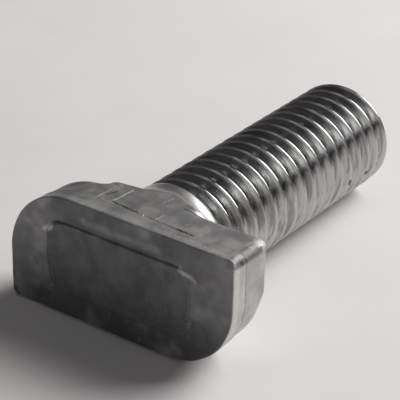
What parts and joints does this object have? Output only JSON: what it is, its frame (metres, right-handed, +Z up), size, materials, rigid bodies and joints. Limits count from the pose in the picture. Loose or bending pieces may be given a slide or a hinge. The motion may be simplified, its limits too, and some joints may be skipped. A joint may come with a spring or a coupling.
{
  "type": "t slot bolt",
  "caption": "Stainless hammer-head bolt for channel slots: oblong head with two swing corners, square neck with a turned cone, metric coarse thread to a chamfered tip.",
  "frame": {"origin": "on the bolt's axis, in the plane of the bearing face under the head", "axes": "+X along the bolt towards the thread's tip, +Y along the head, +Z up as the bolt lies on its head's long side"},
  "size_m": [0.0346, 0.0224, 0.011],
  "materials": {
    "stainless_steel": "plain stainless steel: matt forged head, bright rolled thread"
  },
  "bodies": {
    "root": {"t_bolt": "stainless_steel"}
  },
  "joints": []
}
